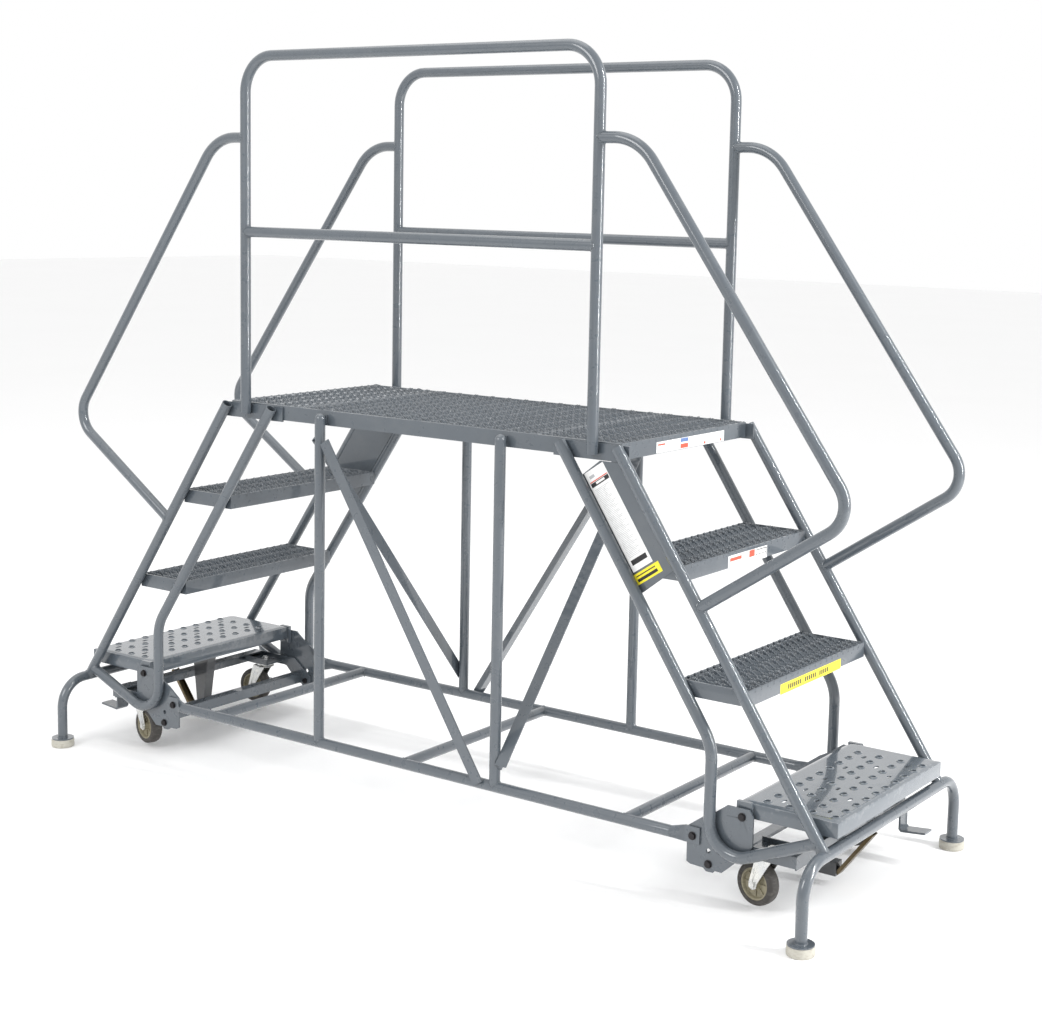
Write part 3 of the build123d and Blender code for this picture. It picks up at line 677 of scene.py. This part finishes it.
def make_lock_steps():
    """Pans with their holes and slots, and the collars and ears that go with them."""
    for unit in UNITS:
        place = Matrix.Identity(4) if unit == "right" else FLIP_X
        cutter = Shape()
        collars = Shape()
        for x, y, _, _ in step_lattice(BUTTON_ROWS, BUTTON_COLUMNS, 0):
            at = place @ Matrix.Translation((x, y, RISE))
            hole = [(HOLE_R, -CUT_REACH), (HOLE_R, CUT_REACH)]
            cutter.join(lathe(hole, HOLE_SIDES, at, closed=False))
            collars.join(button().moved(at))
        for x, y, row, column in step_lattice(BUTTON_ROWS - 1, BUTTON_COLUMNS - 1, 0.5):
            if (row + column) % 2 == 0:
                slot = capsule(x, y, RISE - CUT_REACH * MM, RISE + CUT_REACH * MM, *SLOT_SIZE)
                cutter.join(slot.moved(place))
        body = "lock_step_" + unit
        pan_shape = step_pan().moved(place)
        pan = finish_piece(pan_shape, "step_pan_" + unit, body, ["step"], [body])
        cut(pan, cutter)
        pan.data.shade_smooth()
        pan.data.set_sharp_from_angle(angle=SMOOTH_ANGLE)
        collars.wear = [CREST_WEAR if vert.z > RISE + BUTTON_CREST else SHEET_WEAR
                        for vert in collars.verts]
        finish_piece(collars, "step_buttons_" + unit, body, ["step"])
        ears = step_ear().join(step_ear().moved(FLIP_Y))
        pin_line = Matrix.Translation(STEP_PIVOT) @ Matrix.Rotation(math.pi / 2, 4, "X")
        pin_hole = [(PIN_HOLE_R, -PIN_HOLE_REACH), (PIN_HOLE_R, PIN_HOLE_REACH)]
        pin_holes = lathe(pin_hole, PIN_SIDES, pin_line, closed=False)
        hinge = finish_piece(ears.moved(place), "step_ears_" + unit, body, ["enamel"])
        cut(hinge, pin_holes.moved(place))


# ---- casters --------------------------------------------------------------------
TYRE_PROFILE = (         # (radius, height along the axle) in millimetres
    (37.0, -15.5), (44.5, -15.5), (46.6, -14.9), (48.6, -13.2), (49.9, -10.2), (50.6, -5), (50.8, 0),
    (50.6, 5), (49.9, 10.2), (48.6, 13.2), (46.6, 14.9), (44.5, 15.5), (37.0, 15.5))
HALF_HUB = (             # the half below the middle of the wheel
    (5.05, -17.5), (9.5, -17.5), (10.6, -16.6), (11.2, -13), (12.5, -6.5), (15, -5.2), (28, -5.2),
    (31, -6.5), (32.4, -13.4), (33.4, -14.6), (35.6, -14.9), (37.0, -14.2))
HUB_PROFILE = HALF_HUB + tuple((radius, -height) for radius, height in reversed(HALF_HUB))
WHEEL_SIDES = 96
RIBS = 8
RIB_IN, RIB_OUT = 10.5 * MM, 32.6 * MM
RIB_HALF = 1.1 * MM
RIB_LOW, RIB_HIGH = 4.5, 8.0     # from the middle of the wheel, in millimetres


def wheel_place(place):
    """Matrix from a wheel's own axis, its Z, to where that wheel rests."""
    joint = JOINTS[f"wheel_{place}_spin"]
    axle = Vector(joint["axis"])
    turn = axle.to_track_quat("Z", "X").to_matrix().to_4x4()
    return Matrix.Translation(Vector(joint["pos_m"])) @ turn


def make_wheels():
    """Turned tyres with a crowned tread, and moulded hubs with ribs."""
    for place in PLACES:
        at = wheel_place(place)
        body = "wheel_" + place
        tread = lathe(TYRE_PROFILE, WHEEL_SIDES, at)
        finish_piece(tread, "tyre_tread_" + place, body, ["tyre"], ["tyre_" + place])
        hub = lathe(HUB_PROFILE, WHEEL_SIDES, at)
        for i in range(RIBS):
            turn = at @ Matrix.Rotation(2 * math.pi * i / RIBS, 4, "Z")
            for z0, z1 in ((-RIB_HIGH, -RIB_LOW), (RIB_LOW, RIB_HIGH)):
                hub.join(slab((RIB_IN, -RIB_HALF, z0 * MM), (RIB_OUT, RIB_HALF, z1 * MM), turn))
        finish_piece(hub, "hub_moulding_" + place, body, ["hub"], ["hub_" + place])


# ---- fasteners, all sizes in millimetres -------------------------------------------
HEX_SIDES = 36           # points round a hexagon, six to a flat
WASHER_SIDES, SHANK_SIDES, THREAD_SIDES = 36, 32, 24
FLAT_R = 7.4             # from the middle of a head to one of its flats
HEX_CHAMFER = 0.9
CHAMFER_SHARE = 0.97     # radius of a chamfered end, as a share of FLAT_R
WASHER_PROFILE = ((3, 0.0), (9.6, 0.0), (9.6, 0.9), (9.0, 1.3), (3, 1.3))
HEAD_LOW, HEAD_HIGH = 1.2, 6.0
NUT_HIGH = 5.6
SHANK_CORE, SHANK_R, SHANK_OUT = 0.5, 4.95, 2
THREAD_R, THREAD_LOW, THREAD_HIGH, THREAD_PITCH = 4.9, 5.0, 7.0, 0.9
THREAD_DEPTH = 0.6
TIP_CHAMFER = 1.2
THREAD_CORE = 0.4
BOLTS = {  # node: (x, z, outside face of the plate, inside face under the nut)
    "rail_bolts": (829, 153, 291.5, 281.5),
    "frame_pivot_bolts": (869, 95, 286.5, 275.5),
    "step_pivot_bolts": (950, 221, 286.5, 268.5),
}


def hexagon(flat_r, z0, z1, chamfer, about):
    """Hexagon head or nut with its corners chamfered off at the z1 end."""
    corner_r = flat_r / math.cos(math.pi / 6)
    rings = []
    for z, limit in ((z0, corner_r), (z1 - chamfer, corner_r), (z1, flat_r * CHAMFER_SHARE)):
        ring = []
        for i in range(HEX_SIDES):
            angle = 2 * math.pi * i / HEX_SIDES
            edge = flat_r / math.cos((angle + math.pi / 6) % (math.pi / 3) - math.pi / 6)
            radius = min(edge, limit) * MM
            ring.append(about @ Vector((radius * math.cos(angle), radius * math.sin(angle), z * MM)))
        rings.append(ring)
    shape = Shape()
    shape.loops(rings)
    return shape


def thread(radius, z0, z1, pitch, about):
    """Threaded end of a bolt as fine ridges, chamfered at its tip."""
    profile = []
    z = z0
    while z < z1 - pitch:
        profile += [(radius, z), (radius - THREAD_DEPTH, z + pitch / 2)]
        z += pitch
    profile += [(radius, z), (radius - TIP_CHAMFER, z1), (THREAD_CORE, z1)]
    return lathe([(THREAD_CORE, z0)] + profile, THREAD_SIDES, about, closed=False)


def make_bolts():
    """Chamfered heads, washers, nuts and thread ends of the gusset bolts."""
    outward = Matrix.Rotation(math.pi / 2, 4, "X")
    inward = Matrix.Rotation(-math.pi / 2, 4, "X")
    for node, (x, z, outside, inside) in BOLTS.items():
        out = Matrix.Translation((x * MM, -outside * MM, z * MM)) @ outward
        back = Matrix.Translation((x * MM, -inside * MM, z * MM)) @ inward
        grip = outside - inside
        shank = [(SHANK_CORE, -grip), (SHANK_R, -grip), (SHANK_R, SHANK_OUT), (SHANK_CORE, SHANK_OUT)]
        one = Shape()
        one.join(lathe(WASHER_PROFILE, WASHER_SIDES, out))
        one.join(hexagon(FLAT_R, HEAD_LOW, HEAD_HIGH, HEX_CHAMFER, out))
        one.join(lathe(shank, SHANK_SIDES, out))
        one.join(hexagon(FLAT_R, 0.0, NUT_HIGH, HEX_CHAMFER, back))
        one.join(thread(THREAD_R, THREAD_LOW, THREAD_HIGH, THREAD_PITCH, back))
        four = Shape()
        for corner in CORNERS:
            four.join(one.moved(corner))
        finish_piece(four, node + "_detail", "frame", ["black"], [node])


# ---- feet ---------------------------------------------------------------------------
PAD_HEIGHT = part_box("foot_pads")[1].z / MM
PAD_PROFILE = (          # (radius, height) in millimetres
    (3, 0), (28.3, 0), (29.7, 0.7), (30.5, 2.4), (30.9, 6), (30.9, PAD_HEIGHT * 0.5),
    (30.6, PAD_HEIGHT * 0.55), (30.9, PAD_HEIGHT * 0.6), (30.8, PAD_HEIGHT - 3),
    (30.1, PAD_HEIGHT - 0.9), (28.7, PAD_HEIGHT), (3, PAD_HEIGHT))
PAD_SIDES = 72


def make_feet():
    """Moulded pads with a soft shoulder and a mould line."""
    four = Shape()
    for corner in CORNERS:
        at = corner @ Matrix.Translation((FOOT_X, -FOOT_Y, 0))
        four.join(lathe(PAD_PROFILE, PAD_SIDES, at))
    finish_piece(four, "foot_pad_mouldings", "frame", ["pad"], ["foot_pads"])


# ---- weld beads --------------------------------------------------------------------
BEAD = 1.9 * MM
RIPPLE = 0.16            # how much a bead swells at each ripple
RIPPLE_TURN = 1.9        # and how fast the ripples follow each other
UNEVEN = 0.25
SEED_STEP = 3.7          # keeps one bead's unevenness from repeating the next
JOINT_POINTS = 52        # points round a tube joint
LEAD = 0.1               # how far before a joint its branch is entered, in lengths of its direction
HANDRAIL_SLOPE = 0.667   # of the handrail's run back to the stringer
HANDRAIL_BEND = (1200 * MM, 917 * MM)
RETURN_Z = 671 * MM
CURL_SLOPE = 0.418       # of the inner stringer's curl where it meets the outer one
CURL_Z = 209 * MM
STRINGER_GAP = 157 * MM  # along X from the outer stringer to the inner one
BRACKET_Z = 990 * MM
POST_BRACKET_Z = 995 * MM
BRACKET_SINK = 1.2 * MM
BRACKET_BEAD_OUT = 5 * MM
BRACKET_BEAD_POINTS = 15
POST_BEAD_HALF = 11 * MM
STRINGER_BEAD_HALF = 13 * MM
X_WAY = Vector((1, 0, 0))
Y_WAY = Vector((0, 1, 0))
Z_WAY = Vector((0, 0, 1))


def rippled(points, closed=True, seed=0.0):
    """Weld bead along points, with the ripples that the arc leaves."""
    sizes = []
    for i in range(len(points)):
        ripple = RIPPLE * math.sin(RIPPLE_TURN * i)
        uneven = UNEVEN * noise.noise(Vector((i * 0.23, seed, 1.3)))
        sizes.append(BEAD * (1 + ripple + uneven))
    return rope(points, sizes, closed)


def saddle(start, along, main_point, main_along):
    """Where a branch tube meets a main tube of the same size: points round the joint."""
    along, main_along = along.normalized(), main_along.normalized()
    points = []
    for on_branch in ring_points(start, along, TUBE_R):
        gap = on_branch - main_point
        flat_gap = gap - main_along * gap.dot(main_along)
        flat_along = along - main_along * along.dot(main_along)
        a = flat_along.dot(flat_along)
        b = flat_gap.dot(flat_along)
        c = flat_gap.dot(flat_gap) - TUBE_R ** 2
        root = b * b - a * c
        points.append(on_branch + along * ((-b - math.sqrt(max(root, 0.0))) / a))
    return points


def ring_points(centre, normal, radius):
    """Points round a circle."""
    first, second = across(normal.normalized())
    turn = [2 * math.pi * i / JOINT_POINTS for i in range(JOINT_POINTS)]
    return [centre + (first * math.cos(a) + second * math.sin(a)) * radius for a in turn]


def bracket_beads():
    """Short straight beads on both sides of each tube behind a corner bracket."""
    stringer = Vector((STAIR_RUN, 0, -1))
    outer_x = outer_line(BRACKET_Z)
    y = -SIDE_Y + TUBE_R - BRACKET_SINK
    beads = []
    for x, z, way, half in ((POST_X, POST_BRACKET_Z, Z_WAY, POST_BEAD_HALF),
                            (outer_x, BRACKET_Z, stringer, STRINGER_BEAD_HALF),
                            (outer_x - STRINGER_GAP, BRACKET_Z, stringer, STRINGER_BEAD_HALF)):
        along = way.normalized()
        out = along.cross(Y_WAY).normalized() * BRACKET_BEAD_OUT
        for side in (1, -1):
            middle = Vector((x, y, z)) + out * side
            last = BRACKET_BEAD_POINTS - 1
            beads.append([middle + along * (half * (2 * i / last - 1)) for i in range(last + 1)])
    return beads


def weld_places():
    """Joints of the near right corner: lists of points and whether they close."""
    stringer = Vector((STAIR_RUN, 0, -1))
    y = -SIDE_Y
    post = Vector((POST_X, y, 0))
    rail = Vector((0, y, RAIL_Z))
    foot_tube = Vector((FOOT_X, 0, FOOT_TUBE_Z))
    outer = Vector((outer_line(FOOT_TUBE_Z), y, FOOT_TUBE_Z))
    bend_x, bend_z = HANDRAIL_BEND
    return_start = Vector((bend_x - (bend_z - RETURN_Z) / HANDRAIL_SLOPE + LEAD, y,
                           RETURN_Z + LEAD * HANDRAIL_SLOPE))
    curl_start = Vector((outer_line(CURL_Z) - LEAD, y, CURL_Z - LEAD * CURL_SLOPE))
    joints = [  # (point on the branch, its direction, point on the main tube, its direction)
        (Vector((POST_X - LEAD, y, MID_RAIL_Z)), X_WAY, post, Z_WAY),
        (Vector((POST_X + LEAD, y, HANDRAIL_Z)), -X_WAY, post, Z_WAY),
        (return_start, Vector((-1, 0, -HANDRAIL_SLOPE)), outer, stringer),
        (curl_start, Vector((1, 0, CURL_SLOPE)), outer, stringer),
        (outer - stringer * LEAD, stringer, foot_tube, Y_WAY),
        (Vector((CROSS_X, y + LEAD, RAIL_Z)), -Y_WAY, rail, X_WAY),
        (Vector((UPRIGHT_X, y, RAIL_Z + LEAD)), -Z_WAY, rail, X_WAY),
    ]
    places = [(saddle(*joint), True) for joint in joints]
    washer_top = Vector((FOOT_X, -FOOT_Y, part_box("foot_washers")[1].z))
    places.append((ring_points(washer_top, Z_WAY, TUBE_R), True))
    places += [(line, False) for line in bracket_beads()]
    return places


def make_welds():
    """Painted-over beads at the joints of the frame."""
    near = Shape()
    for seed, (points, closed) in enumerate(weld_places()):
        near.join(rippled(points, closed, seed * SEED_STEP))
    every = Shape()
    for corner in CORNERS:
        every.join(near.moved(corner))
    rail = Vector((0, -SIDE_Y, RAIL_Z))
    middle = rippled(saddle(Vector((0, -SIDE_Y + LEAD, RAIL_Z)), -Y_WAY, rail, X_WAY))
    every.join(middle).join(middle.moved(FLIP_Y))
    finish_piece(every, "weld_beads", "frame", ["enamel"])


# ---- labels, all sizes in millimetres -------------------------------------------------
INKS = ["white", "yellow", "red", "blue", "ink", "grey", "pale"]
FILM_LOW, FILM_HIGH, INK_LAYER = 0.02, 0.16, 0.07
DECK_LABEL_AT = (-137, 975)      # Y and Z of a label's lower left corner
UPPER_TREAD_LABEL_AT = (-93, 721)
LOWER_TREAD_LABEL_AT = (-140, 464.3)
PANEL_ACROSS = Vector((0.8296, 0, 0.5583))
PANEL_DOWN = Vector((0.5583, 0, -0.8296))
PANEL_TOP_AT = (508, 931)        # X and Z where the panel label's upper left corner starts
PANEL_LABEL_LENGTH = 252
YELLOW_LABEL_AT = (658.3, 692.2)
PANEL_LABEL_IN = 5               # how far both stand in from the panel's edge
DECK_PRINT = [
    (0, 0, 310, 26, "white", 0), (6, 17, 38, 21, "red", 1), (106, 16, 141, 25, "blue", 1),
    (106, 1.5, 141, 12, "red", 1), (214, 2, 222, 8, "red", 1), (290, 2, 297, 8, "red", 1)]
UPPER_TREAD_PRINT = [
    (0, 0, 184, 29, "white", 0), (8, 15, 62, 23, "red", 1), (98, 12, 124, 28, "red", 1),
    (128, 23.5, 182, 25.5, "ink", 1), (128, 13, 178, 14.5, "ink", 1), (178, 4, 181, 25, "ink", 1),
    (134, 3, 136, 13, "ink", 1)]
LOWER_TREAD_SHEET = (0, 0, 300, 24, "yellow", 0)
LETTER_GROUPS = ((36, 7), (118, 6), (190, 5))    # where each starts, and its blocks
LETTER_PITCH, LETTER_WIDTH = 9.6, 6.2
LETTER_LOW, LETTER_HIGH = 6.5, 17.5
PANEL_PRINT = [
    (0, 0, 60, 252, "white", 0), (9, 233, 24, 240, "grey", 1), (4, 224, 58, 226.5, "red", 1),
    (4, 213, 58, 223, "ink", 1), (19, 216, 45, 221, "white", 2), (7, 14, 53, 26, "ink", 1)]
YELLOW_PRINT = [
    (0, 0, 81, 25, "yellow", 0), (10, 17, 68, 19.5, "ink", 1), (10, 5, 70, 12, "ink", 1)]


def label(corner, along, up, parts):
    """Thin printed sheet: parts are (left, bottom, right, top, ink, layer)."""
    along, up = Vector(along).normalized(), Vector(up).normalized()
    out = along.cross(up)
    about = Matrix((along, up, out)).transposed().to_4x4()
    about.translation = Vector(corner) * MM
    shape = Shape()
    for left, bottom, right, top, ink, layer in parts:
        low = (left * MM, bottom * MM, FILM_LOW * MM)
        high = (right * MM, top * MM, (FILM_HIGH + INK_LAYER * layer) * MM)
        shape.join(slab(low, high, about, INKS.index(ink)))
    return shape


def text_lines(left, right, top, bottom, step, ink="grey", fill=0.45):
    """Rows of bars with ragged ends that stand for small print."""
    bars = []
    for i in range(int((top - bottom) / step)):
        y = top - (i + 1) * step
        ragged = 0.08 + 0.34 * abs(math.sin(i * 2.3))
        end = right - (right - left) * ragged
        bars.append((left, y, end, y + step * fill, ink, 1))
    return bars


def make_labels():
    """Labels in their real places and colours, with bars for print."""
    deck_parts = DECK_PRINT + text_lines(48, 100, 23, 3, 3.4) + text_lines(150, 300, 23, 9, 3.4)
    deck = label((DECK_END_X / MM, *DECK_LABEL_AT), Y_WAY, Z_WAY, deck_parts)
    upper_x = (TREAD_LOW.x + TREAD_DEPTH) / MM
    upper_parts = UPPER_TREAD_PRINT + text_lines(8, 92, 13, 2, 3.6)
    upper = label((upper_x, *UPPER_TREAD_LABEL_AT), Y_WAY, Z_WAY, upper_parts)
    lower_parts = [LOWER_TREAD_SHEET]
    for start, count in LETTER_GROUPS:
        for i in range(count):
            left = start + i * LETTER_PITCH
            lower_parts.append((left, LETTER_LOW, left + LETTER_WIDTH, LETTER_HIGH, "ink", 1))
    lower = label((TREAD_HIGH.x / MM, *LOWER_TREAD_LABEL_AT), Y_WAY, Z_WAY, lower_parts)
    panel_y = PANEL_Y / MM
    top_x, top_z = PANEL_TOP_AT
    corner = Vector((top_x, panel_y, top_z)) + PANEL_DOWN * PANEL_LABEL_LENGTH
    panel_parts = PANEL_PRINT + text_lines(7, 55, 208, 32, 3.5, ink="pale", fill=0.35)
    panel = label(corner + PANEL_ACROSS * PANEL_LABEL_IN, PANEL_ACROSS, -PANEL_DOWN, panel_parts)
    yellow_x, yellow_z = YELLOW_LABEL_AT
    corner = Vector((yellow_x, panel_y, yellow_z)) + PANEL_ACROSS * PANEL_LABEL_IN
    panel.join(label(corner, PANEL_ACROSS, -PANEL_DOWN, YELLOW_PRINT))
    finish_piece(deck.join(upper).join(lower).join(panel), "labels", "frame", INKS)


# ---- stage: camera, light and floor ----------------------------------------------------
CAMERA_AT = Vector((2.7773, -3.6247, 1.5472))
YAW, PITCH, ROLL = -0.599, -0.132, 0.023
LENS, SENSOR = 62.09, 36
SHIFT_X, SHIFT_Y = -0.0567, -0.0619
LIGHT_TARGET = Vector((0, 0, 0.8))
LIGHTS = (  # name, azimuth and elevation in degrees, distance, size, power; azimuth 0 is +X
    ("key", -102, 28, 5.5, (2.4, 2.0), 95),
    ("side_strip", 8, 20, 4.5, (0.08, 3.6), 170),
    ("top", 200, 78, 5.0, (4.0, 4.0), 60),
)
WORLD_SEEN, WORLD_LIT = 1.0, 0.97    # strength as seen, and as it lights rough surfaces
WHITE = (1, 1, 1, 1)
FLOOR_HALF = 30
FLOOR_BOTTOM, FLOOR_TOP = -0.02, -0.0002
FLOOR_DARK, FLOOR_MIDDLE, FLOOR_LIGHT = (0.96,) * 3, (0.97,) * 3, (0.98,) * 3


def make_camera():
    """Camera at the view of the front right corner."""
    level = math.cos(PITCH)
    forward = Vector((math.sin(YAW) * level, math.cos(YAW) * level, math.sin(PITCH)))
    right = forward.cross(Vector((0, 0, 1))).normalized()
    up = right.cross(forward)
    rolled_right = right * math.cos(ROLL) + up * math.sin(ROLL)
    rolled_up = up * math.cos(ROLL) - right * math.sin(ROLL)
    data = bpy.data.cameras.new("camera")
    data.sensor_width = SENSOR
    data.lens = LENS
    data.shift_x = SHIFT_X
    data.shift_y = SHIFT_Y
    camera = bpy.data.objects.new("camera", data)
    matrix = Matrix((rolled_right, rolled_up, -forward)).transposed().to_4x4()
    matrix.translation = CAMERA_AT
    camera.matrix_world = matrix
    bpy.context.scene.collection.objects.link(camera)
    bpy.context.scene.camera = camera


def area_light(name, azimuth, elevation, distance, size, power):
    """Soft rectangular light that looks at the stand."""
    a, e = math.radians(azimuth), math.radians(elevation)
    way = Vector((math.cos(a) * math.cos(e), math.sin(a) * math.cos(e), math.sin(e)))
    data = bpy.data.lights.new(name, "AREA")
    data.shape = "RECTANGLE"
    data.size, data.size_y = size
    data.energy = power
    light = bpy.data.objects.new(name, data)
    light.location = LIGHT_TARGET + way * distance
    light.rotation_mode = "QUATERNION"
    light.rotation_quaternion = way.to_track_quat("Z", "Y")
    bpy.context.scene.collection.objects.link(light)


def make_world():
    """White surroundings, a little weaker where they light a rough surface."""
    world = bpy.data.worlds.new("studio")
    world.use_nodes = True
    nodes, links = world.node_tree.nodes, world.node_tree.links
    background = nodes["Background"]
    path = nodes.new("ShaderNodeLightPath")
    strength = nodes.new("ShaderNodeMapRange")
    strength.inputs["To Min"].default_value = WORLD_SEEN
    strength.inputs["To Max"].default_value = WORLD_LIT
    links.new(path.outputs["Is Diffuse Ray"], strength.inputs["Value"])
    links.new(strength.outputs["Result"], background.inputs["Strength"])
    background.inputs["Color"].default_value = WHITE
    bpy.context.scene.world = world


def make_stage():
    """Pale floor, white surroundings and soft lights."""
    view = bpy.context.scene.view_settings
    view.view_transform = "Standard"
    view.look = "None"
    make_world()
    floor_shape = slab((-FLOOR_HALF, -FLOOR_HALF, FLOOR_BOTTOM), (FLOOR_HALF, FLOOR_HALF, FLOOR_TOP))
    finish = Finish("floor", FLOOR_MIDDLE, 0.7, specular=0.2)
    finish.wire("Base Color", finish.mix(finish.noise(0.8, 2), FLOOR_DARK, FLOOR_LIGHT))
    floor = floor_shape.build("floor", [finish.material], smooth=False)
    for light in LIGHTS:
        area_light(*light)


dress_cad_nodes()
make_decks()
make_treads()
make_lock_steps()
make_wheels()
make_bolts()
make_feet()
make_welds()
make_labels()
make_camera()
make_stage()
